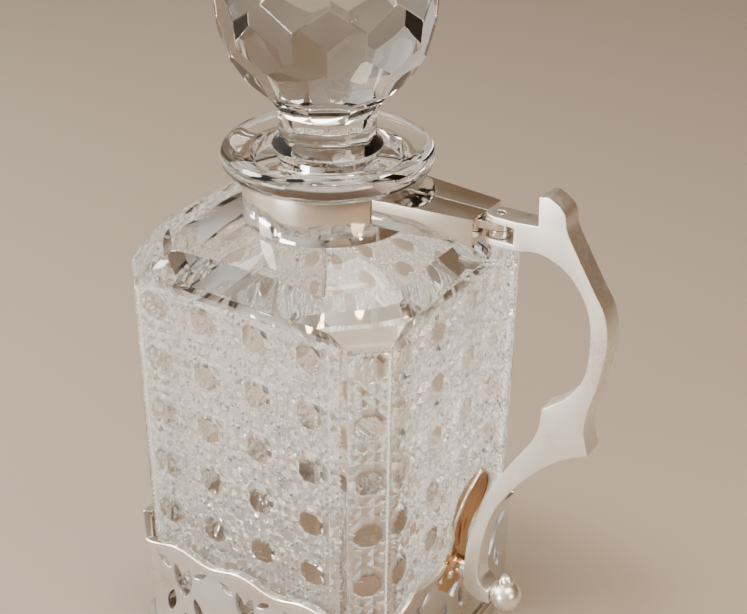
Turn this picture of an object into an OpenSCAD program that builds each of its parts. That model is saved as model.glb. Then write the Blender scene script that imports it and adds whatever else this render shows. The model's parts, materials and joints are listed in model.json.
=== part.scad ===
// Square cut-glass decanter in a plated stand: a hollow glass bottle and its
// ball stopper, a two-part neck collar hinged in the fork of a cast handle,
// and a pierced gallery that holds the bottle's base.
// Origin: centre of the resting face. +Z is up and the handle is on the +X side.

/* [Bottle] */
// Width across the flat faces
bottle_w = 84; // [76:1:104]
// Height from the bottle's base to the top of its lip
bottle_h = 156; // [136:1:190]
// Leg of each cut corner, along the face
corner_cut = 8; // [5:0.5:12]
// Height from the top of the lip down to the end of the flat faces
shoulder_drop = 30; // [28:0.5:40]
// Slope of the ground bevel above each face, in degrees
bevel_deg = 54; // [40:1:60]
// Slope of the ground facet above each cut corner, in degrees
corner_deg = 42; // [34:1:50]
// Rise from the top of the flat faces to the shoulder's edge, before the bevels are cut
shoulder_rise = 5; // [3:0.5:7]
// Thickness of the glass in the sides
glass_t = 7; // [4:0.5:9]
// Thickness of the glass under the cavity
glass_base = 11; // [6:0.5:18]

/* [Neck and stopper] */
// Diameter of the neck
neck_d = 42; // [38:0.5:46]
// Diameter of the rounded lip
lip_d = 57.2; // [52:0.2:64]
// Thickness of the lip
lip_t = 7.6; // [6:0.2:9]
// Depth of the dish in the lip's top
lip_dish = 1; // [0.4:0.1:1.6]
// Diameter of the ground bore at the mouth
bore_d = 29.4; // [24:0.2:31]
// Length of the ground bore
bore_len = 24; // [16:1:26]
// How much narrower the bore is at its lower end
bore_taper = 3; // [1:0.2:5]
// Length of the stopper's ground peg, less than the bore's
peg_len = 22; // [12:1:22]
// Gap between peg and bore, on the radius
peg_gap = 0.06; // [0.03:0.01:0.1]
// Diameter of the stopper's ball
ball_d = 56; // [50:1:66]
// Height of the ball's centre above the top of the lip
ball_rise = 35.5; // [33:0.5:44]
// Diameter of the stem between the peg and the ball, across its corners
stem_d = 25.8; // [20:0.2:28]
// Diameter of the flare under the ball, across its corners
flare_d = 34; // [28:0.5:42]
// Number of cut facets in each row round the ball
facet_n = 10; // [8:1:12]

/* [Collar] */
// Height of the collar
collar_h = 12.5; // [10.5:0.5:13]
// Thickness of the collar's metal
collar_t = 1.2; // [0.8:0.1:1.8]
// Thickness of the lining inside the collar
liner_t = 0.7; // [0.5:0.1:1.2]
// Gap between the lining and the neck
liner_gap = 0.3; // [0.3:0.05:0.6]
// Gap between the two halves of the collar
half_gap = 0.3; // [0.3:0.05:0.6]
// Height of the arm
arm_h = 7.2; // [6:0.2:8]
// Width of the closed arm where it leaves the collar
arm_root_w = 22; // [16:0.5:26]
// Width of the closed arm at its hinge end
arm_end_w = 15; // [11:0.5:18]
// Reach of the catch ears beyond the collar
ear_reach = 6; // [4:0.5:8]
// Height of the catch ears
ear_h = 8.5; // [5:0.5:9]
// Thickness of each catch ear
ear_t = 2; // [1.5:0.1:3]
// Diameter of the catch's dowel
dowel_d = 2; // [1.5:0.1:2.5]

/* [Hinge] */
// Distance of the hinge pin from the outside of the glass face
pin_reach = 10; // [8:0.5:16]
// Diameter of the hinge pin
pin_d = 2.4; // [2:0.1:3]
// Diameter of the hinge knuckles
knuckle_d = 5.8; // [5:0.1:6.6]
// Height of the slot in the handle's fork
slot_h = 4.4; // [3.6:0.1:4.8]
// Gap that lets each knuckle turn, above and below it
knuckle_gap = 0.2; // [0.15:0.05:0.3]
// Running clearance of knuckle on pin, on the radius
pin_gap = 0.08; // [0.04:0.01:0.1]

/* [Handle] */
// Thickness of the cast handle
handle_t = 7; // [5:0.5:9]
// Diameter of the ball that ends the lower scroll
scroll_d = 9; // [7:0.5:10]

/* [Gallery and base] */
// Height of the gallery's top edge, at its crests
gallery_h = 43; // [34:1:54]
// Thickness of the gallery's walls
wall_t = 1.2; // [0.8:0.1:2]
// Gap between the glass and the gallery
glass_gap = 0.8; // [0.4:0.1:1.5]
// Height of the rim moulding
rim_h = 1.8; // [1.2:0.1:2.6]
// How far the rim moulding stands out from the wall
rim_out = 1.2; // [0.6:0.1:2]
// Height of the waves in the top edge
wave_h = 2.2; // [0:0.1:3]
// Number of crests on each face
wave_n = 3; // [1:2:5]
// Thickness of the baize under the base
baize_t = 1.2; // [0.8:0.1:2]
// Thickness of the base plate
plate_t = 1.8; // [1.2:0.1:3]
// Thickness of the pad under the bottle
pad_t = 1; // [0.6:0.1:2]
// How far the foot moulding stands out from the wall
foot_out = 1.6; // [1:0.1:3]
// Height of the foot moulding
foot_h = 3; // [2:0.2:5]
// Height of the leaf's tip above the gallery's crests
leaf_rise = 30; // [20:1:34]
// Width of the leaf at its widest
leaf_w = 19; // [14:0.5:24]
// Thickness of the leaf
leaf_t = 1.5; // [1:0.1:2]

/* [Hidden] */
$fn = 96;

SILVER = "gainsboro";
GLASS = [0.85, 0.92, 0.95, 0.45];
BAIZE = "darkgreen";
LINING = "saddlebrown";

// Levels, from the resting face upward
plate_z = baize_t;
tray_z = plate_z + plate_t;
bottle_z = tray_z + pad_t;
lip_z = bottle_z + bottle_h;
lip_under = lip_z - lip_t;
collar_gap = 0.9;
collar_top = lip_under - collar_gap;
collar_z = collar_top - collar_h;
neck_foot = collar_z - 0.5;
face_top = lip_z - shoulder_drop;
mouth_z = lip_z - lip_dish;
bore_foot = mouth_z - bore_len;

// Bottle in plan
half = bottle_w / 2;
edge_r = norm([half, half - corner_cut]);
inner_half = half - glass_t;
inner_cut = corner_cut + 5;
corner_drop = 3.5;

// Neck and collar in plan
neck_r = neck_d / 2;
lip_r = lip_d / 2;
bore_r = bore_d / 2;
bore_foot_r = bore_r - bore_taper / 2;
liner_in = neck_r + liner_gap;
liner_out = liner_in + liner_t;
collar_r = liner_out + collar_t;

// Stopper: rows of facets, by the angle each row faces above the level
ball_z = lip_z + ball_rise;
ball_r = ball_d / 2;
facet_dist = ball_r * 0.955;
facet_rows = [-57, -31, -5, 21, 47, 72];

// Hinge
pin_x = half + pin_reach;
pin_r = pin_d / 2;
knuckle_r = knuckle_d / 2;
arm_top = collar_top;
arm_z = arm_top - arm_h;
slot_z = arm_z + (arm_h - slot_h) / 2;
fork_top = arm_top + 0.4;
fork_z = arm_z - 0.3;
fork_r = handle_t / 2;
arm_end = pin_x - fork_r - 0.4;
knuckle_h = (slot_h - 3 * knuckle_gap) / 2;
ear_z = collar_z + (collar_h - ear_h) / 2;
ear_x = collar_r + ear_reach;
dowel_x = collar_r + ear_reach * 0.6;
dowel_z = ear_z + ear_h / 2;
dowel_gap = 0.1;

// Gallery in plan: each wall follows the glass at the same gap
gallery_in = half + glass_gap;
gallery_out = gallery_in + wall_t;
rim_r = gallery_out + rim_out;
foot_r = gallery_out + foot_out;
wall_half = gallery_out - cut_at(gallery_out);
wave_half = gallery_in - cut_at(gallery_in);
wave_len = 2 * wave_half / wave_n;
trough_z = gallery_h - wave_h;

// Leaf and boss on the handle's side
leaf_foot_w = 14;
leaf_foot_z = gallery_h - 12;
boss_d = 6.4;
boss_z = leaf_foot_z + 5.6;
stem_x = gallery_out + leaf_t + 3.4;
screw_r = 1.2;
screw_head_r = 2.2;
rivet_r = 0.9;

// Leg of the cut corner on an octagon whose flats are at half-width h round the bottle
function cut_at(h) = corner_cut + (h - half) * (2 - sqrt(2));

// Height of the gallery's top edge at distance s from the middle of a face
function wave(s) = trough_z + wave_h * (1 + cos(360 * s / wave_len)) / 2;

// Point at u, 0 to 1, on the smooth curve from b to c, whose neighbours are a and d
function spline(a, b, c, d, u) =
    (2 * b + (c - a) * u + (2 * a - 5 * b + 4 * c - d) * u * u
     + (3 * b - a - 3 * c + d) * u * u * u) / 2;

// Smooth open curve through the points p, in n steps a span
function smooth(p, n = 5) = let (k = len(p) - 1)
    [for (i = [0 : k - 1], j = [0 : n - 1])
        spline(p[max(i - 1, 0)], p[i], p[i + 1], p[min(i + 2, k)], j / n), p[k]];

// Square of half-width h with cut corners of leg c
module octagon(h, c) {
    polygon([[h, c - h], [h, h - c], [h - c, h], [c - h, h],
             [-h, h - c], [-h, c - h], [c - h, -h], [h - c, -h]]);
}

// Prism round the bottle with its flats at half-width h
module prism(h, z0, z1) {
    translate([0, 0, z0])
        linear_extrude(z1 - z0)
            octagon(h, cut_at(h));
}

// Half-space above a slope of the given angle, through a line at x and z
module above_slope(x, z, angle) {
    translate([x, 0, z])
        rotate([0, angle, 0])
            translate([-60, -90, 0])
                cube([120, 180, 60]);
}

// ---- Glass ----

// Body and shoulder before hollowing
module bottle_body() {
    corner_face = (2 * half - corner_cut) / sqrt(2);
    difference() {
        intersection() {
            prism(half, bottle_z, neck_foot + 1);
            rotate_extrude()
                polygon([[0, bottle_z], [edge_r - 1.5, bottle_z], [edge_r + 1, bottle_z + 2.5],
                         [edge_r + 1, face_top + shoulder_rise], [neck_r, neck_foot],
                         [neck_r, neck_foot + 1], [0, neck_foot + 1]]);
        }
        for (a = [0 : 90 : 270]) {
            rotate([0, 0, a])
                above_slope(half, face_top, bevel_deg);
            rotate([0, 0, a + 45])
                above_slope(corner_face, face_top - corner_drop, corner_deg);
        }
    }
}

// Neck with its full-round lip, dished on top
module neck_and_lip() {
    edge = lip_t / 2;
    rotate_extrude() {
        translate([lip_r - edge, lip_under + edge])
            circle(edge);
        polygon([[0, neck_foot], [neck_r, neck_foot], [neck_r, lip_under - 0.6],
                 [lip_r - edge, lip_under], [lip_r - edge, lip_z], [bore_r, mouth_z],
                 [0, mouth_z]]);
    }
}

// Cavity, and the tapered bore that leads to it
module bottle_inside() {
    inner_z = bottle_z + glass_base;
    inner_top = face_top - 5;
    intersection() {
        translate([0, 0, inner_z])
            linear_extrude(bore_foot - inner_z + 1)
                octagon(inner_half, inner_cut);
        rotate_extrude()
            polygon([[0, inner_z], [inner_half - 2, inner_z], [edge_r, inner_z + 14],
                     [edge_r, inner_top - 4], [inner_half, inner_top],
                     [bore_foot_r, bore_foot], [0, bore_foot]]);
    }
    rotate_extrude()
        polygon([[0, bore_foot - 1], [bore_foot_r, bore_foot - 1], [bore_foot_r, bore_foot],
                 [bore_r, mouth_z], [bore_r, lip_z + 1], [0, lip_z + 1]]);
}

module bottle() {
    color(GLASS)
        difference() {
            union() {
                bottle_body();
                neck_and_lip();
            }
            bottle_inside();
        }
}

// Cone whose flats stand at the facets' distance from the ball's centre and face up at angle e
module facet_row(e, turn) {
    low = (facet_dist + ball_r * sin(e)) / cos(e) / cos(180 / facet_n);
    high = (facet_dist - facet_dist * sin(e)) / cos(e) / cos(180 / facet_n);
    rotate([0, 0, turn])
        translate([0, 0, -ball_r])
            cylinder(h = ball_r + facet_dist, r1 = low, r2 = high, $fn = facet_n);
}

// Facet-cut ball, flared stem and ground peg in one piece
module stopper() {
    peg_r = bore_r - peg_gap;
    peg_foot_r = peg_r - bore_taper / 2 * peg_len / bore_len;
    color(GLASS) {
        translate([0, 0, ball_z])
            intersection_for(i = [0 : len(facet_rows) - 1])
                facet_row(facet_rows[i], (i % 2) * 180 / facet_n);
        // Stem and flare, cut with the same number of flats
        rotate_extrude($fn = facet_n)
            polygon([[0, mouth_z - 1], [stem_d / 2, mouth_z - 1],
                     [stem_d / 2, ball_z - ball_r * 0.975], [flare_d / 2, ball_z - ball_r * 0.8],
                     [0, ball_z]]);
        rotate_extrude()
            polygon([[0, mouth_z - peg_len], [peg_foot_r - 0.8, mouth_z - peg_len],
                     [peg_foot_r, mouth_z - peg_len + 0.8], [peg_r, mouth_z],
                     [peg_r - 3, mouth_z + 3], [0, mouth_z + 3]]);
    }
}

// ---- Collar: two halves, side is -1 for the near half and 1 for the far half ----

// Everything on one side of the plane between the halves
module side_of(side) {
    translate([-100, side > 0 ? half_gap / 2 : -100 - half_gap / 2, collar_z - 10])
        cube([250, 100, collar_h + 30]);
}

// Tapered arm from collar to hinge, as one piece before it is split
module arm_block() {
    translate([0, 0, arm_z])
        linear_extrude(arm_h)
            polygon([[neck_r, -arm_root_w / 2], [arm_end, -arm_end_w / 2],
                     [arm_end, arm_end_w / 2], [neck_r, arm_root_w / 2]]);
}

// Knuckle on the pin, with the web that ties it to its own half of the arm
module knuckle(side) {
    z0 = side < 0 ? slot_z + 2 * knuckle_gap + knuckle_h : slot_z + knuckle_gap;
    translate([0, 0, z0])
        linear_extrude(knuckle_h) {
            translate([pin_x, 0])
                circle(knuckle_r);
            polygon([[arm_end - 1, side * half_gap / 2], [pin_x - 2, side * half_gap / 2],
                     [pin_x, side * knuckle_r], [arm_end - 1, side * (knuckle_r + 0.8)]]);
        }
}

module collar_half(side) {
    difference() {
        union() {
            intersection() {
                union() {
                    translate([0, 0, collar_z])
                        cylinder(h = collar_h, r = collar_r);
                    arm_block();
                    translate([-ear_x, -ear_t - half_gap / 2, ear_z])
                        cube([ear_x, 2 * ear_t + half_gap, ear_h]);
                }
                side_of(side);
            }
            knuckle(side);
        }
        translate([0, 0, collar_z - 1])
            cylinder(h = collar_h + 2, r = liner_out);
        translate([pin_x, 0, fork_z - 1])
            cylinder(h = arm_h + 3, r = pin_r + pin_gap, $fn = 48);
        translate([-dowel_x, 0, dowel_z])
            rotate([90, 0, 0])
                cylinder(h = 20, r = dowel_d / 2 + (side < 0 ? dowel_gap : 0), center = true,
                         $fn = 48);
    }
}

module collar_near() {
    color(SILVER)
        collar_half(-1);
}

module collar_far() {
    color(SILVER)
        collar_half(1);
}

module liner_half(side) {
    color(LINING)
        intersection() {
            difference() {
                translate([0, 0, collar_z + 0.4])
                    cylinder(h = collar_h - 0.8, r = liner_out);
                translate([0, 0, collar_z - 1])
                    cylinder(h = collar_h + 2, r = liner_in);
            }
            side_of(side);
        }
}

module liner_near() {
    liner_half(-1);
}

module liner_far() {
    liner_half(1);
}

// Dowel fixed in the far ear, which springs into the near one
module catch_dowel() {
    color(SILVER)
        translate([-dowel_x, ear_t + half_gap / 2 + 0.4, dowel_z])
            rotate([90, 0, 0])
                cylinder(h = 2 * ear_t + half_gap, r = dowel_d / 2, $fn = 48);
}

// ---- Hinge pin and handle ----

// Pin fixed in the handle's fork: flush on top, with a low head underneath
module hinge_pin() {
    color(SILVER)
        translate([pin_x, 0, 0])
            rotate_extrude()
                polygon([[0, fork_z - 0.6], [pin_r + 0.5, fork_z - 0.6], [pin_r + 0.8, fork_z],
                         [pin_r, fork_z], [pin_r, fork_top - 0.2], [pin_r - 0.2, fork_top],
                         [0, fork_top]]);
}

// Side view of the handle: x is measured from the hinge pin, z from the top of the lip
back = [[14, 0.5], [18.3, -2.4], [19.8, -7.6], [22.8, -12.8], [27.6, -20.6], [31.2, -26.4],
        [32.7, -33], [32.4, -39.5], [31.3, -47], [29.5, -55], [28.9, -60.5], [29.7, -64.5],
        [30.7, -68]];
grip = [[6.5, -15.8], [12, -14.8], [16.5, -15.8], [21, -18.4], [25, -23.2], [27.4, -28.8],
        [28.2, -35.5], [28, -42.5], [26.4, -48.2], [22.4, -54], [16.9, -58.4]];

// The lower stem keeps its height on the gallery's boss, and joins the grip above
function stem_z(z) = boss_z + z;
function belly() = [[pin_x + 30.7, lip_z - 68], [pin_x + 25, lip_z - 71.2],
                    [pin_x + 19, lip_z - 76.3], [pin_x + 12.5, lip_z - 84],
                    [stem_x + 8.8, stem_z(28)], [stem_x + 5.5, stem_z(16)],
                    [stem_x + 4.2, stem_z(5)], [stem_x + 4.8, stem_z(0)],
                    [stem_x + 7.6, stem_z(-2.4)]];
function foot_curl() = [[stem_x + 8.6, stem_z(-6.4)], [stem_x + 5, stem_z(-6.6)],
                        [stem_x + 1.6, stem_z(-5.2)], [stem_x, stem_z(-3.4)]];
function inner_stem() = [[stem_x, stem_z(3.4)], [stem_x + 0.4, stem_z(11)],
                         [stem_x + 2.4, stem_z(21)], [stem_x + 5.4, stem_z(31)],
                         [pin_x + 8.2, lip_z - 80.6], [pin_x + 14, lip_z - 71],
                         [pin_x + 16.2, lip_z - 65.5], [pin_x + 16.7, lip_z - 61]];
function from_pin(p) = [for (q = p) [pin_x + q[0], lip_z + q[1]]];
function reversed(p) = [for (i = [len(p) - 1 : -1 : 0]) p[i]];

module handle_outline() {
    polygon(concat(
        [[pin_x - fork_r, fork_z], [pin_x - fork_r, fork_top],
         [pin_x + 6, fork_top], [pin_x + 12, fork_top + 0.4], [pin_x + 11.6, lip_z]],
        smooth(from_pin(back)), smooth(belly()), smooth(foot_curl()),
        smooth(inner_stem()), smooth(reversed(from_pin(grip))),
        [[pin_x + 5.6, fork_z]]));
}

module handle() {
    color(SILVER)
        difference() {
            translate([0, handle_t / 2, 0])
                rotate([90, 0, 0])
                    linear_extrude(handle_t)
                        handle_outline();
            // Slot for the knuckles
            translate([pin_x - 10, -handle_t, slot_z])
                cube([15.5, 2 * handle_t, slot_h]);
            // Fork tip rounded about the pin
            difference() {
                translate([pin_x - fork_r - 1, -handle_t, fork_z - 1])
                    cube([fork_r + 1, 2 * handle_t, arm_h + 4]);
                translate([pin_x, 0, fork_z - 2])
                    cylinder(h = arm_h + 6, r = fork_r);
            }
            translate([pin_x, 0, fork_z - 2])
                cylinder(h = arm_h + 6, r = pin_r, $fn = 48);
            translate([stem_x - 1, 0, boss_z])
                rotate([0, 90, 0])
                    cylinder(h = 4, r = screw_r, $fn = 48);
        }
}

// Ball that ends the scroll, with a small bud on top
module scroll_ball() {
    ball_x = stem_x + 8.6 + scroll_d / 2 - 0.9;
    color(SILVER)
        difference() {
            translate([ball_x, 0, stem_z(-4)])
                rotate_extrude() {
                    intersection() {
                        circle(scroll_d / 2);
                        translate([0, -scroll_d])
                            square(2 * scroll_d);
                    }
                    intersection() {
                        translate([0, scroll_d / 2 + 0.8])
                            circle(scroll_d * 0.24);
                        square(2 * scroll_d);
                    }
                }
            translate([0, handle_t, 0])
                rotate([90, 0, 0])
                    linear_extrude(2 * handle_t)
                        handle_outline();
        }
}

module handle_boss() {
    color(SILVER)
        translate([gallery_out + leaf_t, 0, boss_z])
            rotate([0, 90, 0])
                difference() {
                    cylinder(h = stem_x - gallery_out - leaf_t, d = boss_d);
                    translate([0, 0, -1])
                        cylinder(h = 12, r = screw_r, $fn = 48);
                }
}

// Flush screw from inside the gallery, through leaf and boss, into the handle
module handle_screw() {
    color(SILVER)
        translate([gallery_in, 0, boss_z])
            rotate([0, 90, 0])
                rotate_extrude($fn = 48)
                    polygon([[0, 0], [screw_head_r, 0], [screw_r, wall_t - 0.1],
                             [screw_r, stem_x - gallery_in + 3], [0, stem_x - gallery_in + 3]]);
}

// ---- Gallery and base ----

// Lens shape that stands on its lower point
module petal(h, w) {
    r = (h * h / 4 + w * w / 4) / w;
    translate([0, h / 2])
        intersection() {
            translate([r - w / 2, 0])
                circle(r);
            translate([w / 2 - r, 0])
                circle(r);
        }
}

// Openings under one crest, drawn with the crest's middle at x = 0
module piercing() {
    top = trough_z - rim_h - 2.4;
    translate([0, top - 13]) {
        for (s = [-1, 1])
            rotate(s * 13)
                petal(12, 3.6);
    }
    for (s = [-1, 1]) {
        translate([s * 4.4, top - 3.6])
            rotate(s * -56)
                petal(5.6, 2);
        translate([s * 6.2, top - 21])
            rotate(s * 14)
                petal(9.5, 3.2);
    }
    translate([0, top - 29])
        petal(10, 3.4);
}

// Points along the top edge of one face, flat in the mitres beyond the waves
function edge_steps() = let (n = 24 * wave_n)
    [for (i = [0 : n]) -wave_half + 2 * wave_half * i / n];
function top_edge(drop) = concat([[-wall_half - 2, trough_z - drop]],
    [for (s = edge_steps()) [s, wave(s) - drop]], [[wall_half + 2, trough_z - drop]]);

// Side view of a wall, up to the underside of the rim, with x along the face
module wall_outline(z0) {
    polygon(concat([[wall_half + 2, z0], [-wall_half - 2, z0]], top_edge(rim_h)));
}

// Wall in plan: mitred to the corner strips at both ends
module wall_plan() {
    polygon([[gallery_out, -wall_half], [gallery_out, wall_half],
             [gallery_in, wave_half], [gallery_in, -wave_half]]);
}

// Pierced wall on the +X side; others are turned from it
module wall() {
    intersection() {
        translate([0, 0, tray_z])
            linear_extrude(gallery_h)
                wall_plan();
        translate([gallery_in - 1, 0, 0])
            rotate([90, 0, 90])
                linear_extrude(wall_t + 2)
                    difference() {
                        wall_outline(tray_z);
                        for (i = [0 : wave_n - 1])
                            translate([(i - (wave_n - 1) / 2) * wave_len, 0])
                                piercing();
                    }
    }
}

module gallery_near() {
    color(SILVER)
        rotate([0, 0, -90])
            wall();
}

module gallery_far() {
    color(SILVER)
        rotate([0, 0, 90])
            wall();
}

module gallery_plain_side() {
    color(SILVER)
        rotate([0, 0, 180])
            wall();
}

// Wall under the handle: solid behind the leaf's foot, and drilled
module gallery_handle_side() {
    color(SILVER)
        difference() {
            union() {
                wall();
                translate([gallery_in, -leaf_foot_w / 2, leaf_foot_z])
                    cube([wall_t, leaf_foot_w, wave(leaf_foot_w / 2) - rim_h - leaf_foot_z]);
            }
            handle_screw();
            leaf_rivets();
        }
}

// Corner strip in plan, between radii given as half-widths
module corner_plan(h_in, h_out) {
    a = h_out - cut_at(h_out);
    b = h_in - cut_at(h_in);
    polygon([[h_out, a], [a, h_out], [b, h_in], [h_in, b]]);
}

module gallery_corners() {
    color(SILVER)
        for (a = [0 : 90 : 270])
            rotate([0, 0, a])
                translate([0, 0, tray_z])
                    linear_extrude(trough_z - rim_h - tray_z)
                        corner_plan(gallery_in, gallery_out);
}

// Moulding along the top edge of one face, left open over the leaf if gap is given
module rim_length(gap) {
    side = rim_r - cut_at(rim_r);
    intersection() {
        translate([0, 0, tray_z])
            linear_extrude(gallery_h)
                difference() {
                    polygon([[rim_r, -side], [rim_r, side],
                             [gallery_in, wave_half], [gallery_in, -wave_half]]);
                    if (gap > 0)
                        square([3 * rim_r, gap], center = true);
                }
        translate([gallery_in - 1, 0, 0])
            rotate([90, 0, 90])
                linear_extrude(wall_t + rim_out + 2)
                    polygon(concat(top_edge(0), reversed(top_edge(rim_h))));
    }
}

module rim_lengths() {
    color(SILVER) {
        rim_length(leaf_foot_w);
        for (a = [90, 180, 270])
            rotate([0, 0, a])
                rim_length(0);
    }
}

module rim_corners() {
    color(SILVER)
        for (a = [0 : 90 : 270])
            rotate([0, 0, a])
                translate([0, 0, trough_z - rim_h])
                    linear_extrude(rim_h)
                        corner_plan(gallery_in, rim_r);
}

// Leaf: curved in side view, outlined in front view
function leaf_side() = concat([[gallery_out, leaf_foot_z]],
    smooth([[gallery_out, gallery_h - 3], [gallery_out + 0.9, gallery_h + 4],
            [gallery_out + 3.2, gallery_h + 13], [gallery_out + 5, gallery_h + 21],
            [gallery_out + 6.4, gallery_h + leaf_rise]]));
function leaf_edge() = smooth([[5, gallery_h + 2], [5.2, gallery_h + 7],
                               [leaf_w * 0.45, gallery_h + 12],
                               [leaf_w * 0.5, gallery_h + 17],
                               [leaf_w * 0.38, gallery_h + leaf_rise - 7],
                               [0.2, gallery_h + leaf_rise]]);

module leaf_front() {
    foot = [[leaf_foot_w / 2, leaf_foot_z], [leaf_foot_w / 2, gallery_h - 2]];
    right = concat(foot, leaf_edge());
    polygon(concat(right, [for (p = reversed(right)) [-p[0], p[1]]]));
}

module leaf() {
    line = leaf_side();
    color(SILVER)
        difference() {
            intersection() {
                translate([0, 40, 0])
                    rotate([90, 0, 0])
                        linear_extrude(80)
                            polygon(concat(line, [for (p = reversed(line)) p + [leaf_t, 0]]));
                translate([gallery_out - 1, 0, 0])
                    rotate([90, 0, 90])
                        linear_extrude(20)
                            leaf_front();
            }
            translate([gallery_in - 1, 0, boss_z])
                rotate([0, 90, 0])
                    cylinder(h = 8, r = screw_r, $fn = 48);
            leaf_rivets();
        }
}

// Two flush rivets that hold the leaf's foot to the wall
module leaf_rivets() {
    color(SILVER)
        for (s = [-1, 1])
            translate([gallery_in, s * (boss_d / 2 + 1.9), boss_z])
                rotate([0, 90, 0])
                    rotate_extrude($fn = 48)
                        polygon([[0, 0], [rivet_r, 0], [rivet_r, wall_t + leaf_t],
                                 [rivet_r + 0.5, wall_t + leaf_t],
                                 [rivet_r + 0.2, wall_t + leaf_t + 0.5],
                                 [0, wall_t + leaf_t + 0.7]]);
}

module base_plate() {
    color(SILVER)
        prism(foot_r, plate_z, tray_z);
}

// Stepped moulding round the foot of the walls
module foot_rim() {
    color(SILVER)
        difference() {
            union() {
                prism(foot_r, tray_z, tray_z + foot_h / 2);
                prism(gallery_out + foot_out / 2, tray_z, tray_z + foot_h);
            }
            prism(gallery_out, tray_z - 1, tray_z + foot_h + 1);
        }
}

module inner_pad() {
    color(LINING)
        prism(half, tray_z, bottle_z);
}

module base_baize() {
    color(BAIZE)
        prism(gallery_out, 0, baize_t);
}

bottle();
stopper();
collar_near();
collar_far();
liner_near();
liner_far();
catch_dowel();
hinge_pin();
handle();
scroll_ball();
handle_boss();
handle_screw();
leaf();
leaf_rivets();
gallery_near();
gallery_far();
gallery_handle_side();
gallery_plain_side();
gallery_corners();
rim_lengths();
rim_corners();
base_plate();
foot_rim();
inner_pad();
base_baize();
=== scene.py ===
import json
import math
from collections import namedtuple

import bmesh
import bpy
from mathutils import Matrix, Vector

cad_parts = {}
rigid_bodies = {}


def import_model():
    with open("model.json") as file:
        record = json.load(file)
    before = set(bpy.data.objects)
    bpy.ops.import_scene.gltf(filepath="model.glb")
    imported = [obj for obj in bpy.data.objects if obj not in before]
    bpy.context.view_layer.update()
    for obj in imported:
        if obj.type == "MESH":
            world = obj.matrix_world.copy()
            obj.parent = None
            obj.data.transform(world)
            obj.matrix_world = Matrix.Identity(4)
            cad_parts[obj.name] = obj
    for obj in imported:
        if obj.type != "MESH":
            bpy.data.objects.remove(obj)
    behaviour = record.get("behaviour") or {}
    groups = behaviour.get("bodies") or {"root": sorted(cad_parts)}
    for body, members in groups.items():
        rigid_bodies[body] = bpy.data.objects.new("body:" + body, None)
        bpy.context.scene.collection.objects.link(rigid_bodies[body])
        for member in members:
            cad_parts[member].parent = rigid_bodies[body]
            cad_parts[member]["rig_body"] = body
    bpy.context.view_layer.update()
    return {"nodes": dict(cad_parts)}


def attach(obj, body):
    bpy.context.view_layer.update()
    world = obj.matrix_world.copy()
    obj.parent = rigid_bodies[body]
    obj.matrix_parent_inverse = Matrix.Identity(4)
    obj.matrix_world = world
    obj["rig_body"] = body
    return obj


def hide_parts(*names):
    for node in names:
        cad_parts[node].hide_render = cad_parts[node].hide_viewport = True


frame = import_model()
MM = 0.001


# ---------------------------------------------------------------- sizes, in millimetres

# Body: half the width across flats, leg of the cut corners, distance of the corner planes from the axis
HALF, CUT = 42.0, 8.0
CORNER_P = (2 * HALF - CUT) / math.sqrt(2)
EDGE_R = math.hypot(HALF, HALF - CUT)
BOTTLE_Z, LIP_Z = 4.0, 160.0
# Neck, lip, and the shoulder with its bevels
NECK_R, LIP_R, LIP_T = 21.0, 28.6, 7.6
NECK_FOOT, FACE_TOP, SHOULDER_RISE = 138.5, 130.0, 5.0
BEVEL, CORNER_SLOPE, CORNER_DROP = math.tan(math.radians(54)), math.tan(math.radians(42)), 3.5
# Lattice of buttons: its pitch across and up, its first button, and the cells of one pitch
PITCH, ROW_Z = 16.8, 17.0
FIRST_U, FIRST_Z = -28.0, 18.4
CELLS = 10
STEP_U, STEP_Z = PITCH / CELLS, ROW_Z / CELLS
# Grid lines from the first button: across a face, to either side on a corner panel, and up
FACE_COLS, CORNER_COLS, ROWS = (-3, 36), 3, (-7, 63)
CUT_LEFT, CUT_RIGHT, CUT_HEAD = FIRST_U - 3 * STEP_U, FIRST_U + 35 * STEP_U, FIRST_Z + 6.3 * ROW_Z
# Half-size of a button and place of the mitres, in cells, and the depth of each kind of cut
BUTTON, MITRE = 3, 4
FRAME_CUT, MITRE_CUT, CORNER_CUT = 1.25, 1.05, 1.2
# The cuts run out over this length at a panel's edges, and over FOOT_FADE above FOOT_Z
EDGE_FADE, FOOT_Z, FOOT_FADE = 0.6, 6.0, 2.0
TINY = 0.01
# Dished top of the lip and tapered bore: radius, height
DISH = ((22.6, 159.78), (19.4, 159.4), (16.6, 159.1), (15.0, 159.0))
BORE = ((14.68, 158.7), (14.3, 153.0), (13.95, 147.0), (13.6, 141.0), (13.2, 135.0))
# Cavity: wall, leg of its cut corners, and height with the largest radius there
WALL, INNER_CUT, CAVITY_FLOOR = 7.0, 13.0, 15.0
CAVITY_CONE = ((132.5, 18.65), (130.0, 24.1), (127.5, 29.55), (125.0, 35.0), (124.0, 39.8), (123.0, 44.5),
               (122.0, 49.3), (121.0, 54.0))
CAVITY_SIDES = ((100.0, 60), (75.0, 60), (50.0, 60))
CAVITY_FOOT = ((29.0, 54.0), (26.0, 49.5), (23.0, 45.0), (20.0, 40.5), (17.5, 36.8), (15.8, 34.2),
               (15.2, 31.5), (CAVITY_FLOOR, 28.0))
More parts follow.
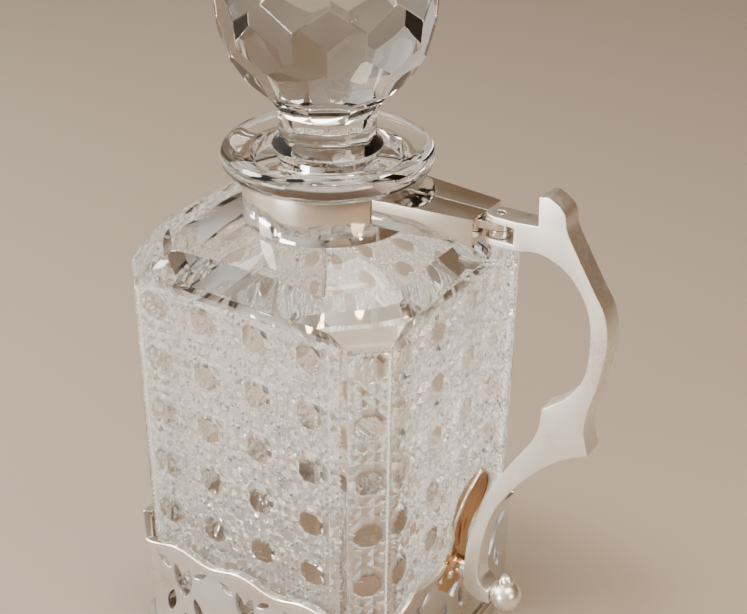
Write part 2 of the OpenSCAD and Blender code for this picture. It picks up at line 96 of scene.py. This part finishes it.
# Leaf: height of its foot, its tip and the top of the flat foot, and by height the place of its edge line,
# its half-width and its hollow
LEAF_FOOT, LEAF_TIP, LEAF_BEND = 31.0, 73.0, 41.0
LEAF_LINE = ((31, 44.0), (41, 44.0), (47, 44.9), (56, 47.2), (64, 49.0), (73, 50.4))
LEAF_WIDTH = ((31, 7.0), (41, 7.0), (45, 5.0), (50, 5.3), (55, 8.5), (60, 9.5), (66, 7.4), (70, 4.0),
              (73, 0.25))
LEAF_HOLLOW = ((31, 0.0), (42, 0.0), (48, 1.2), (56, 3.0), (64, 3.4), (70, 1.6), (73, 0.0))
# Thickness, least thickness at the rim, depth and number of the flutes, which start with the bead
LEAF_T, LEAF_THIN, FLUTE, FLUTES = 1.5, 0.12, 0.22, 4
BEAD_Z, BEAD_OUT = 44.0, 0.45
# Stopper: facet edges above this height are softened by this width
EASED_ABOVE, EASED_BY = 168.0, 0.16


# ---------------------------------------------------------------- materials

# The warm tan laid on the flats between the grooves is a painted reflection of a brown room seen through the
# clear glass
GROOVE_ROUGH, GROOVE_FROST, FLAT_PAINTED_REFLECTION = 0.06, 0.13, (0.84, 0.775, 0.70, 1)
# Below the panel's plane: where a groove's mask is full, where it ends, and how far the panels reach in
MASK_FULL, MASK_END, MASK_PANEL = 0.6, 0.1, 2.4
# Height above which neither mask reaches
MASK_HEAD = 127.5
# Light that has passed through more glass surfaces than this goes straight on
CLEAR_AFTER = 5.5


def new_material(name):
    m = bpy.data.materials.new(name)
    m.use_nodes = True
    nt = m.node_tree
    nt.nodes.clear()
    return m, nt


def add(nt, kind, **values):
    """A node; each value is an input's default, or else a property of the node."""
    n = nt.nodes.new(kind)
    for key, value in values.items():
        if key in n.inputs:
            n.inputs[key].default_value = value
        else:
            setattr(n, key, value)
    return n


def principled(name):
    """A material with one Principled shader: the material, its node tree and the shader."""
    m, nt = new_material(name)
    p = add(nt, "ShaderNodeBsdfPrincipled")
    nt.links.new(p.outputs["BSDF"], add(nt, "ShaderNodeOutputMaterial").inputs["Surface"])
    return m, nt, p


def coords(nt, scale=(1, 1, 1)):
    tc = add(nt, "ShaderNodeTexCoord")
    mp = add(nt, "ShaderNodeMapping", Scale=scale)
    nt.links.new(tc.outputs["Object"], mp.inputs["Vector"])
    return mp.outputs["Vector"]


def noise(nt, vector, scale, detail=3.0, rough=0.5):
    n = add(nt, "ShaderNodeTexNoise", Scale=scale, Detail=detail, Roughness=rough)
    nt.links.new(vector, n.inputs["Vector"])
    return n.outputs["Fac"]


def remap(nt, value, low, high, frm=(0.3, 0.7)):
    n = add(nt, "ShaderNodeMapRange")
    n.inputs["From Min"].default_value, n.inputs["From Max"].default_value = frm
    n.inputs["To Min"].default_value, n.inputs["To Max"].default_value = low, high
    nt.links.new(value, n.inputs["Value"])
    return n.outputs["Result"]


def math_node(nt, operation, *values):
    """A math node whose inputs are links or numbers."""
    n = add(nt, "ShaderNodeMath", operation=operation)
    for i, value in enumerate(values):
        if isinstance(value, (int, float)):
            n.inputs[i].default_value = value
        else:
            nt.links.new(value, n.inputs[i])
    return n.outputs[0]


def blend(nt, factor, a, b):
    """A colour that runs from a to b with the factor."""
    n = add(nt, "ShaderNodeMix", data_type="RGBA")
    n.inputs["A"].default_value = a
    n.inputs["B"].default_value = b
    nt.links.new(factor, n.inputs["Factor"])
    return n.outputs["Result"]


def bump(nt, height, strength, distance):
    """The surface normal with small heights added; distance is in metres."""
    n = add(nt, "ShaderNodeBump", Strength=strength, Distance=distance)
    nt.links.new(height, n.inputs["Height"])
    return n.outputs["Normal"]


def cut_masks(nt):
    """Two masks over the bottle's eight panels: 1 inside the grooves, and 1 on the flats between them, which
    carry a painted warm reflection of a brown room.
    """
    tc = add(nt, "ShaderNodeTexCoord")
    sep = add(nt, "ShaderNodeSeparateXYZ")
    nt.links.new(tc.outputs["Object"], sep.inputs["Vector"])
    ax, ay = (math_node(nt, "ABSOLUTE", sep.outputs[axis]) for axis in "XY")
    both = math_node(nt, "ADD", ax, ay)
    slant = math_node(nt, "MULTIPLY_ADD", both, math.sqrt(0.5), (HALF - CORNER_P) * MM)
    reach = math_node(nt, "MAXIMUM", math_node(nt, "MAXIMUM", ax, ay), slant)
    depth = remap(nt, reach, 1.0, 0.0, ((HALF - MASK_FULL) * MM, (HALF - MASK_END) * MM))
    side = math_node(nt, "GREATER_THAN", reach, (HALF - MASK_PANEL) * MM)
    low = math_node(nt, "LESS_THAN", sep.outputs["Z"], MASK_HEAD * MM)
    panel = math_node(nt, "MULTIPLY", side, low)
    grooves = math_node(nt, "MULTIPLY", depth, panel)
    return grooves, math_node(nt, "SUBTRACT", panel, grooves)


def glass_material(name, tint, wave, grooved=False):
    """Lead crystal: clear, bright, faintly uneven where it was ground and polished; on grooved panels the
    flats between the grooves carry a painted warm reflection.
    """
    m, nt = new_material(name)
    glass = add(nt, "ShaderNodeBsdfPrincipled", IOR=1.52)
    glass.inputs["Base Color"].default_value = tint
    glass.inputs["Transmission Weight"].default_value = 1.0
    v = coords(nt)
    rough = remap(nt, noise(nt, v, 55.0, 4.0), 0.0, 0.03, (0.55, 0.8))
    if grooved:
        cut, flat = cut_masks(nt)
        rough = math_node(nt, "ADD", rough, math_node(nt, "MULTIPLY", cut, GROOVE_ROUGH))
        nt.links.new(remap(nt, cut, 1.0, 1.0 - GROOVE_FROST, (0, 1)), glass.inputs["Transmission Weight"])
        # Painted reflection: the flats between the grooves are tinted warm tan
        nt.links.new(blend(nt, flat, tint, FLAT_PAINTED_REFLECTION), glass.inputs["Base Color"])
    nt.links.new(rough, glass.inputs["Roughness"])
    nt.links.new(bump(nt, noise(nt, v, 140.0, 2.0), wave, 0.0004), glass.inputs["Normal"])
    clear = add(nt, "ShaderNodeBsdfTransparent", Color=(0.96, 0.97, 0.97, 1))
    path = add(nt, "ShaderNodeLightPath")
    deep = math_node(nt, "GREATER_THAN", path.outputs["Transmission Depth"], CLEAR_AFTER)
    mix = add(nt, "ShaderNodeMixShader")
    nt.links.new(math_node(nt, "MAXIMUM", path.outputs["Is Shadow Ray"], deep), mix.inputs["Fac"])
    nt.links.new(glass.outputs["BSDF"], mix.inputs[1])
    nt.links.new(clear.outputs["BSDF"], mix.inputs[2])
    nt.links.new(mix.outputs["Shader"], add(nt, "ShaderNodeOutputMaterial").inputs["Surface"])
    return m


def silver_material(name, color, dull, rough, wave=0.03, grain=(1, 1, 1)):
    """Silver plate: polished, with faint cloth scratches, soft waves and warm tarnish in patches. The colours
    given for the collar band, leaf and gallery are darkened or tinted as painted reflection and shade.
    """
    m, nt, p = principled(name)
    p.inputs["Metallic"].default_value = 1.0
    v = coords(nt)
    patches = noise(nt, v, 38.0, 5.0, 0.6)
    nt.links.new(blend(nt, remap(nt, patches, 0.0, 1.0, (0.45, 0.75)), color, dull), p.inputs["Base Color"])
    streaks = noise(nt, coords(nt, grain), 900.0, 2.0)
    base = remap(nt, patches, rough * 0.75, rough * 1.45, (0.3, 0.75))
    fine = remap(nt, streaks, -0.03, 0.05, (0.3, 0.7))
    nt.links.new(math_node(nt, "ADD", base, fine), p.inputs["Roughness"])
    height = math_node(nt, "ADD", noise(nt, v, 160.0, 2.0), remap(nt, streaks, 0.0, 0.12))
    nt.links.new(bump(nt, height, wave, 0.0002), p.inputs["Normal"])
    return m


def cloth_material(name, dark, light):
    """Baize, pad or leather: dull, with a fine nap and soft clouds of tone."""
    m, nt, p = principled(name)
    p.inputs["Roughness"].default_value = 0.95
    p.inputs["Sheen Weight"].default_value = 0.4
    v = coords(nt)
    nap = noise(nt, v, 1400.0, 4.0, 0.7)
    cloud = noise(nt, v, 60.0, 3.0)
    both = math_node(nt, "MULTIPLY_ADD", nap, 0.7, remap(nt, cloud, 0.0, 0.3))
    nt.links.new(blend(nt, both, dark, light), p.inputs["Base Color"])
    nt.links.new(bump(nt, nap, 0.6, 0.0003), p.inputs["Normal"])
    return m


CRYSTAL = glass_material("cut_crystal", (0.99, 0.99, 0.985, 1), 0.03, True)
CRYSTAL_BALL = glass_material("stopper_crystal", (0.98, 0.985, 0.98, 1), 0.02)
PLATE = silver_material("silver_plate", (0.92, 0.885, 0.83, 1), (0.76, 0.68, 0.57, 1), 0.10)
PLATE_CAST = silver_material("silver_plate_cast", (0.93, 0.905, 0.865, 1), (0.84, 0.79, 0.72, 1), 0.33)
# The collar band's silver is a darker tone than the other plate: painted darker reflection
BAND_PAINTED_DARKER = silver_material("silver_plate_band_painted_darker", (0.84, 0.815, 0.78, 1), (0.70, 0.63, 0.54, 1), 0.05, 0.02,
                             (1, 1, 14))
# The leaf's silver is coloured dark brown with darker brown patches: painted reflection of a brown room and
# painted shade in its hollow
LEAF_PAINTED_REFLECTION = silver_material("silver_plate_leaf_painted_reflection", (0.56, 0.34, 0.17, 1), (0.30, 0.15, 0.07, 1), 0.12)
# The gallery's silver is a darker blue-grey than the other plate: painted cool shade and reflection
GALLERY_PAINTED_SHADE = silver_material("silver_plate_gallery_painted_shade", (0.77, 0.80, 0.83, 1), (0.60, 0.56, 0.50, 1), 0.18,
                                0.05)
BAIZE = cloth_material("green_baize", (0.012, 0.05, 0.025, 1), (0.04, 0.13, 0.065, 1))
PAD = cloth_material("brown_pad", (0.26, 0.15, 0.08, 1), (0.46, 0.31, 0.19, 1))
LEATHER = cloth_material("collar_lining", (0.06, 0.03, 0.018, 1), (0.14, 0.075, 0.045, 1))


# ---------------------------------------------------------------- mesh helpers

def mesh_object(name, verts, faces, material, body, replaces=(), smooth=None):
    """A new piece from millimetre points; smooth is the angle, in degrees, up to which edges shade smooth."""
    me = bpy.data.meshes.new(name)
    me.from_pydata([tuple(c * MM for c in v) for v in verts], [], faces)
    me.validate()
    bm = bmesh.new()
    bm.from_mesh(me)
    bmesh.ops.remove_doubles(bm, verts=bm.verts, dist=1e-6)
    bmesh.ops.recalc_face_normals(bm, faces=bm.faces)
    bm.to_mesh(me)
    bm.free()
    shade(me, smooth)
    me.materials.append(material)
    ob = bpy.data.objects.new(name, me)
    bpy.context.scene.collection.objects.link(ob)
    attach(ob, body)
    if replaces:
        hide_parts(*replaces)


def fade(x, width):
    """0 up to x = 0 and 1 from x = width, straight between."""
    return min(1.0, max(0.0, x / width))


def shade(me, smooth):
    """Smooth shading with hard edges above the given angle, or flat shading if none is given."""
    if smooth is None:
        me.shade_flat()
        return
    me.shade_smooth()
    me.set_sharp_from_angle(angle=math.radians(smooth))


def refined(node, material, width, segments, angle=32):
    """A copy of a CAD node that stands for it; edges sharper than angle, in degrees, are rounded by width."""
    src = frame["nodes"][node]
    body = src["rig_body"]
    me = src.data.copy()
    me.name = node + "_plate"
    bm = bmesh.new()
    bm.from_mesh(me)
    bmesh.ops.remove_doubles(bm, verts=bm.verts, dist=2e-6)
    bmesh.ops.dissolve_limit(bm, angle_limit=math.radians(0.6), verts=bm.verts, edges=bm.edges)
    edges = [e for e in bm.edges if len(e.link_faces) == 2
             and e.calc_face_angle(0) > math.radians(angle)]
    bmesh.ops.bevel(bm, geom=edges, offset=width * MM, offset_type="OFFSET", segments=segments,
                    profile=0.6, affect="EDGES", clamp_overlap=True, harden_normals=False)
    bmesh.ops.remove_doubles(bm, verts=bm.verts, dist=1e-6)
    bmesh.ops.triangulate(bm, faces=bm.faces)
    bm.to_mesh(me)
    bm.free()
    me.materials.clear()
    me.materials.append(material)
    shade(me, 26)
    ob = bpy.data.objects.new(node + "_plate", me)
    bpy.context.scene.collection.objects.link(ob)
    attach(ob, body)
    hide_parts(node)


# ---------------------------------------------------------------- cut-glass bottle

Column = namedtuple("Column", "x y nx ny u kind")
FACE, CORNER = 0, 1


class Skin:
    """A closed skin of rings with equally many points, each joined to the ring before it."""

    def __init__(self):
        self.verts, self.faces, self.last = [], [], None

    def add_points(self, points):
        start = len(self.verts)
        self.verts.extend(points)
        return range(start, start + len(points))

    def ring(self, points, middles=None):
        """Adds a ring; with middle points, each cell below it is split on both diagonals."""
        a, b = self.last, self.add_points(points)
        mids = self.add_points(middles) if middles else None
        for i in range(len(b) if a else 0):
            k = (i + 1) % len(b)
            if mids is None:
                self.faces.append((a[i], a[k], b[k], b[i]))
            else:
                for p, q in ((a[i], a[k]), (a[k], b[k]), (b[k], b[i]), (b[i], a[i])):
                    self.faces.append((p, q, mids[i]))
        self.last = b
        return b

    def fan(self, a, z):
        """Closes a ring with a fan round a point on the axis."""
        self.verts.append((0, 0, z))
        for i in range(len(a)):
            self.faces.append((a[i], a[(i + 1) % len(a)], len(self.verts) - 1))


def dome(r):
    """Height of the shoulder at radius r before its bevels are cut."""
    return NECK_FOOT - (r - NECK_R) * (NECK_FOOT - FACE_TOP - SHOULDER_RISE) / (EDGE_R + 1 - NECK_R)


def roof(x, y):
    """Height of the shoulder over a plan point."""
    side = FACE_TOP + (HALF - max(abs(x), abs(y))) * BEVEL
    corner = FACE_TOP - CORNER_DROP + (CORNER_P - (abs(x) + abs(y)) / math.sqrt(2)) * CORNER_SLOPE
    return min(dome(math.hypot(x, y)), side, corner)


def groove(d, depth):
    """Depth of a V cut one cell to either side of its middle, at d cells from it."""
    return depth * max(0.0, 1.0 - abs(d))


def around(x, period):
    """Signed distance from x to the nearest multiple of period."""
    return (x + period / 2) % period - period / 2


def face_cuts(u, z):
    """Depth of the cane-and-button cutting on a face, u across and z up; a period is ten cells."""
    a = around((u - FIRST_U) / PITCH * CELLS, CELLS)
    b = around((z - FIRST_Z) / ROW_Z * CELLS, CELLS)
    s, t = around(a + b, CELLS), around(a - b, CELLS)
    cuts = [groove(abs(q) - k, FRAME_CUT) for q in (a, b) for k in (BUTTON, CELLS // 2)]
    cuts += [groove(abs(q) - MITRE, MITRE_CUT) for q in (s, t)]
    if min(abs(a), abs(b)) > BUTTON - 0.1:
        cuts += [groove(q, CORNER_CUT) for q in (s, t)]
    return max(cuts)


def perimeter():
    """Columns round the bottle's plan: place, outward normal, place across the panel, panel kind."""
    out = []
    slant = CUT * math.sqrt(2)
    root = math.sqrt(0.5)
    first, last = FACE_COLS
    across = [-HALF + CUT] + [FIRST_U + k * STEP_U for k in range(first, last + 1)]
    for q in range(4):
        c, s = round(math.cos(q * math.pi / 2)), round(math.sin(q * math.pi / 2))
        for u in across:
            out.append(Column(HALF * c - u * s, HALF * s + u * c, c, s, u, FACE))
        for u in [-slant / 2] + [k * STEP_U for k in range(-CORNER_COLS, CORNER_COLS + 1)]:
            w = u / slant + 0.5
            x, y = HALF - CUT * w, HALF - CUT + CUT * w
            out.append(Column(x * c - y * s, x * s + y * c, (c - s) * root, (c + s) * root, u, CORNER))
    return out


def panel_point(x, y, nx, ny, u, kind, z, top):
    """A point of the cut side, pushed in along the panel's normal."""
    d = 0.0
    if kind == FACE and CUT_LEFT - TINY < u < CUT_RIGHT + TINY and z < CUT_HEAD + TINY:
        d = face_cuts(u, z) * fade(HALF - CUT - abs(u), EDGE_FADE)
    elif kind == CORNER and z < CUT_HEAD:
        d = face_cuts(u + FIRST_U, z) * fade(CUT / math.sqrt(2) - abs(u), EDGE_FADE)
    d *= fade(top - EDGE_FADE - z, EDGE_FADE) * fade(z - FOOT_Z, FOOT_FADE)
    return (x - nx * d, y - ny * d, z)


def middle_u(c, e):
    """Place across the panel half-way from column c to the next column e."""
    if c.kind == e.kind:
        return (c.u + e.u) / 2
    return (c.u + (HALF - CUT if c.kind == FACE else CUT / math.sqrt(2))) / 2


def cut_sides(skin, cols):
    """The eight panels, a grid of cells split on both diagonals so that every mitre is crisp."""
    top = [roof(c.x * 0.9999, c.y * 0.9999) for c in cols]
    first, last = ROWS
    levels = [BOTTLE_Z + 1] + [FIRST_Z + k * STEP_Z for k in range(first, last + 1)]
    skin.ring([panel_point(*c, levels[0], t) for c, t in zip(cols, top)])
    for below, z in zip(levels, levels[1:]):
        middles = []
        for i, c in enumerate(cols):
            k = (i + 1) % len(cols)
            e = cols[k]
            middles.append(panel_point((c.x + e.x) / 2, (c.y + e.y) / 2, c.nx, c.ny, middle_u(c, e), c.kind,
                                       (z + below) / 2, (top[i] + top[k]) / 2))
        skin.ring([panel_point(*c, z, t) for c, t in zip(cols, top)], middles)
    skin.ring([(c.x, c.y, t) for c, t in zip(cols, top)])


def toward(c, end, w):
    """The plan point a share w of the way from column c to an end point."""
    return c.x + (end[0] - c.x) * w, c.y + (end[1] - c.y) * w


def crease(c, end):
    """The share of the way to the neck at which the bevel over column c meets the dome."""
    low, high = 0.0, 1.0
    for _ in range(26):
        w = (low + high) / 2
        x, y = toward(c, end, w)
        if roof(x, y) < dome(math.hypot(x, y)) - 1e-6:
            low = w
        else:
            high = w
    return max(low, 0.02)


def shoulder(skin, cols, bevel_rings=8, dome_rings=10):
    """From the panel tops in to the neck, with a ring of points on the bevels' top edge."""
    ends = [(NECK_R * c.x / math.hypot(c.x, c.y), NECK_R * c.y / math.hypot(c.x, c.y)) for c in cols]
    edges = [crease(c, end) for c, end in zip(cols, ends)]
    shares = [[edge * k / bevel_rings for edge in edges] for k in range(1, bevel_rings + 1)]
    shares += [[edge + (1 - edge) * k / dome_rings for edge in edges] for k in range(1, dome_rings + 1)]
    for row in shares:
        plan = [toward(c, end, w) for c, end, w in zip(cols, ends, row)]
        skin.ring([(x, y, roof(x, y)) for x, y in plan])


def neck(skin, angles, lip_steps=16):
    """Neck, full-round lip, dished top and ground bore."""
    edge_r = LIP_T / 2
    low_lip = LIP_Z - LIP_T
    profile = [(NECK_R, NECK_FOOT + 1.2), (NECK_R, 145.0), (NECK_R, low_lip - 1.2),
               (NECK_R + 0.5, low_lip - 0.5)]
    for k in range(lip_steps + 1):
        t = -math.pi / 2 + math.pi * k / lip_steps
        profile.append((LIP_R - edge_r + edge_r * math.cos(t), LIP_Z - edge_r + edge_r * math.sin(t)))
    for r, z in (*profile, *DISH, *BORE):
        skin.ring([(r * math.cos(a), r * math.sin(a), z) for a in angles])


def cavity(skin, angles):
    """The hollow: cone, straight sides with cut corners, rounded floor."""
    inner = HALF - WALL
    inner_p = (2 * inner - INNER_CUT) / math.sqrt(2)
    for z, limit in CAVITY_CONE + CAVITY_SIDES + CAVITY_FOOT:
        points = []
        for a in angles:
            c, s = abs(math.cos(a)), abs(math.sin(a))
            r = min(limit, inner / max(c, s), inner_p / ((c + s) * math.sqrt(0.5)))
            points.append((r * math.cos(a), r * math.sin(a), z))
        skin.ring(points)


def build_bottle():
    """One skin: underside, cut sides, shoulder, neck, bore and cavity."""
    cols = perimeter()
    angles = [math.atan2(c.y, c.x) for c in cols]
    skin = Skin()
    under = skin.ring([(c.x * 0.985, c.y * 0.985, BOTTLE_Z) for c in cols])
    cut_sides(skin, cols)
    shoulder(skin, cols)
    neck(skin, angles)
    cavity(skin, angles)
    skin.fan(skin.last, CAVITY_FLOOR)
    skin.fan(under, BOTTLE_Z)
    mesh_object("bottle_cut_glass", skin.verts, skin.faces, CRYSTAL, "stand", ["bottle"], 12)


build_bottle()


# ---------------------------------------------------------------- stopper

def build_stopper():
    """Stopper from the CAD node, with the facet edges of its ball and stem softened."""
    src = frame["nodes"]["stopper"]
    me = src.data.copy()
    me.name = "stopper_crystal"
    bm = bmesh.new()
    bm.from_mesh(me)
    bmesh.ops.remove_doubles(bm, verts=bm.verts, dist=2e-6)
    bmesh.ops.dissolve_limit(bm, angle_limit=math.radians(0.5), verts=bm.verts, edges=bm.edges)
    edges = [e for e in bm.edges if len(e.link_faces) == 2 and e.calc_face_angle(0) > math.radians(9)
             and min(v.co.z for v in e.verts) > EASED_ABOVE * MM]
    bmesh.ops.bevel(bm, geom=edges, offset=EASED_BY * MM, segments=1, affect="EDGES", clamp_overlap=True)
    bmesh.ops.triangulate(bm, faces=bm.faces)
    bm.to_mesh(me)
    bm.free()
    me.materials.clear()
    me.materials.append(CRYSTAL_BALL)
    shade(me, 8)
    ob = bpy.data.objects.new("stopper_crystal", me)
    bpy.context.scene.collection.objects.link(ob)
    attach(ob, "stopper")
    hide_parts("stopper")


build_stopper()


# ---------------------------------------------------------------- silver plate

refined("handle", PLATE_CAST, 0.7, 3)
refined("collar_near", BAND_PAINTED_DARKER, 0.28, 2)
refined("collar_far", BAND_PAINTED_DARKER, 0.28, 2)
for n in ("gallery_near", "gallery_far", "gallery_handle_side", "gallery_plain_side"):
    refined(n, GALLERY_PAINTED_SHADE, 0.22, 2)
refined("gallery_corners", GALLERY_PAINTED_SHADE, 0.12, 2)
refined("rim_lengths", PLATE, 0.5, 3, 50)
refined("rim_corners", PLATE, 0.5, 3, 50)
refined("foot_rim", PLATE, 0.4, 3)
refined("base_plate", PLATE, 0.4, 3)


def along(points, z):
    """Value at height z on the line through (z, value) points."""
    for (z0, v0), (z1, v1) in zip(points, points[1:]):
        if z <= z1:
            return v0 + (v1 - v0) * max(0.0, (z - z0) / (z1 - z0))
    return points[-1][1]


def leaf_rows(n=64):
    """Rows up the leaf: height, edge line, half-width, hollow and the fluting's depth."""
    for k in range(n + 1):
        z = LEAF_FOOT + (LEAF_TIP - LEAF_FOOT) * k / n
        near = (-1.2, 0, 1.2) if LEAF_BEND + 2 < z < LEAF_TIP - 2 else (0,)
        soft = [sum(along(p, z + d) for d in near) / len(near) for p in (LEAF_LINE, LEAF_WIDTH, LEAF_HOLLOW)]
        yield (z, *soft, FLUTE * fade(z - BEAD_Z, 5) * fade(LEAF_TIP - z, 6))


def build_leaf(across=28):
    """The spoon-shaped leaf: edges curled toward the handle, fluted inside, thin at the rim."""
    verts, faces = [], []
    for z, x, w, hollow, flute in leaf_rows():
        front, rear = [], []
        for i in range(across + 1):
            t = -1 + 2 * i / across
            bed = x - hollow * (1 - t * t)
            thin = 0.7 * t * t + 0.7 * max(0.0, (abs(t) - 0.86) / 0.14) if z >= LEAF_BEND else 0.0
            ripple = flute * math.cos(t * math.pi * FLUTES) * (1 - t * t)
            front.append((bed + max(LEAF_T - thin, LEAF_THIN) + ripple, w * t, z))
            rear.append((bed, w * t, z))
        verts += front + rear[::-1]
    n = 2 * (across + 1)
    rows = len(verts) // n
    for j in range(rows - 1):
        for i in range(n):
            k = (i + 1) % n
            faces.append((j * n + i, j * n + k, (j + 1) * n + k, (j + 1) * n + i))
    faces.append(tuple(range(n)))
    faces.append(tuple(range((rows - 1) * n, rows * n)))
    mesh_object("leaf_spoon", verts, faces, LEAF_PAINTED_REFLECTION, "stand", ["leaf"], 50)


def build_leaf_bead(radius=0.42, around_n=8):
    """A bright rounded bead along the leaf's edge above the foot, up one side and down the other."""
    path = [(x + BEAD_OUT, w, z) for z, x, w, _, _ in leaf_rows() if z > BEAD_Z]
    path += [(x, -y, z) for x, y, z in path[::-1]]
    verts, faces = [], []
    for i, point in enumerate(path):
        run = Vector(path[min(i + 1, len(path) - 1)]) - Vector(path[max(i - 1, 0)])
        side = run.cross(Vector((1, 0, 0))).normalized()
        out = side.cross(run).normalized()
        for k in range(around_n):
            a = 2 * math.pi * k / around_n
            verts.append(tuple(Vector(point) + (side * math.cos(a) + out * math.sin(a)) * radius))
    for i in range(len(path) - 1):
        for k in range(around_n):
            m = (k + 1) % around_n
            faces.append((i * around_n + k, i * around_n + m, (i + 1) * around_n + m, (i + 1) * around_n + k))
    faces.append(tuple(range(around_n)))
    faces.append(tuple(range((len(path) - 1) * around_n, len(path) * around_n)))
    mesh_object("leaf_bead", verts, faces, PLATE, "stand", (), 60)


build_leaf()
build_leaf_bead()
for n in ("hinge_pin", "catch_dowel", "handle_boss", "handle_screw", "leaf_rivets"):
    refined(n, PLATE, 0.12, 2)
refined("scroll_ball", PLATE_CAST, 0.12, 2)
for n, mat in (("base_baize", BAIZE), ("inner_pad", PAD), ("liner_near", LEATHER), ("liner_far", LEATHER)):
    ob = frame["nodes"][n]
    ob.data.materials.clear()
    ob.data.materials.append(mat)


# ---------------------------------------------------------------- floor, light and camera

# Camera: angles in degrees, place from the origin in millimetres, sensor in millimetres, the rest in pixels
AZIMUTH, TILT, ROLL = 32.41, 28.88, 0.6
CAM_OUT, CAM_SIDE, CAM_UP = 321.87, 12.51, 286.77
SENSOR, FOCAL, IMAGE_WIDTH = 36.0, 1300.0, 747.0


def floor(reach=3):
    m, _, p = principled("pale_floor")
    p.inputs["Base Color"].default_value = (0.31, 0.255, 0.205, 1)
    p.inputs["Roughness"].default_value = 0.6
    me = bpy.data.meshes.new("floor")
    corners = [(-reach, -reach, 0), (reach, -reach, 0), (reach, reach, 0), (-reach, reach, 0)]
    me.from_pydata(corners, [], [(0, 1, 2, 3)])
    me.materials.append(m)
    ob = bpy.data.objects.new("floor", me)
    bpy.context.scene.collection.objects.link(ob)


def area_light(name, at, target, size, power, color):
    light = bpy.data.lights.new(name, "AREA")
    light.shape = "ELLIPSE"
    light.size, light.size_y = size
    light.energy = power
    light.color = color
    ob = bpy.data.objects.new(name, light)
    ob.location = at
    ob.rotation_euler = (Vector(target) - Vector(at)).to_track_quat("-Z", "Y").to_euler()
    bpy.context.scene.collection.objects.link(ob)


def world():
    """Soft room light: pale toward the window, falling off to a warm brown on the far side."""
    w = bpy.data.worlds.new("studio")
    bpy.context.scene.world = w
    w.use_nodes = True
    nt = w.node_tree
    nt.nodes.clear()
    out = add(nt, "ShaderNodeOutputWorld")
    bg = add(nt, "ShaderNodeBackground")
    tc = add(nt, "ShaderNodeTexCoord")
    to_window = add(nt, "ShaderNodeVectorMath", operation="DOT_PRODUCT")
    to_window.inputs[1].default_value = (-0.55, -0.72, 0.42)
    ramp = add(nt, "ShaderNodeValToRGB")
    stops = ((0.0, (0.17, 0.10, 0.06)), (0.38, (0.24, 0.165, 0.105)), (0.62, (0.47, 0.40, 0.33)),
             (0.85, (0.90, 0.86, 0.80)))
    for i, (at, color) in enumerate(stops):
        e = ramp.color_ramp.elements[i] if i < 2 else ramp.color_ramp.elements.new(at)
        e.position = at
        e.color = (*color, 1)
    nt.links.new(tc.outputs["Generated"], to_window.inputs[0])
    nt.links.new(remap(nt, to_window.outputs["Value"], 0.0, 1.0, (-1, 1)), ramp.inputs["Fac"])
    nt.links.new(ramp.outputs["Color"], bg.inputs["Color"])
    bg.inputs["Strength"].default_value = 1.0
    nt.links.new(bg.outputs["Background"], out.inputs["Surface"])


def camera():
    """A camera turned about the upright axis from the near face, tilted down and rolled."""
    az, pitch, roll = math.radians(AZIMUTH), math.radians(TILT), math.radians(ROLL)
    right = Vector((math.cos(az), math.sin(az), 0))
    ahead = Vector((-math.sin(az), math.cos(az), 0))
    up = Vector((0, 0, 1)) * math.cos(pitch) + ahead * math.sin(pitch)
    look = ahead * math.cos(pitch) - Vector((0, 0, 1)) * math.sin(pitch)
    x = right * math.cos(roll) + up * math.sin(roll)
    y = up * math.cos(roll) - right * math.sin(roll)
    at = (-ahead * CAM_OUT + right * CAM_SIDE + Vector((0, 0, CAM_UP))) * MM
    cam = bpy.data.cameras.new("camera")
    cam.sensor_width = SENSOR
    cam.lens = FOCAL / IMAGE_WIDTH * SENSOR
    cam.clip_start = 0.01
    ob = bpy.data.objects.new("camera", cam)
    ob.matrix_world = Matrix((
        (x.x, y.x, -look.x, at.x),
        (x.y, y.y, -look.y, at.y),
        (x.z, y.z, -look.z, at.z),
        (0, 0, 0, 1)))
    bpy.context.scene.collection.objects.link(ob)
    bpy.context.scene.camera = ob


floor()
world()
area_light("window", (-0.75, -0.45, 0.62), (0, 0, 0.09), (0.38, 0.48), 18, (1.0, 0.955, 0.89))
area_light("top", (0.37, -0.1, 0.98), (0, 0, 0.1), (0.7, 0.55), 10, (1.0, 0.88, 0.72))
area_light("front", (-0.35, -0.85, 0.16), (0, 0, 0.06), (0.5, 0.25), 7, (1.0, 0.98, 0.96))
area_light("lamp", (0.62, -0.2, 0.3), (0, 0, 0.08), (0.2, 0.2), 1.5, (1.0, 0.72, 0.45))
camera()
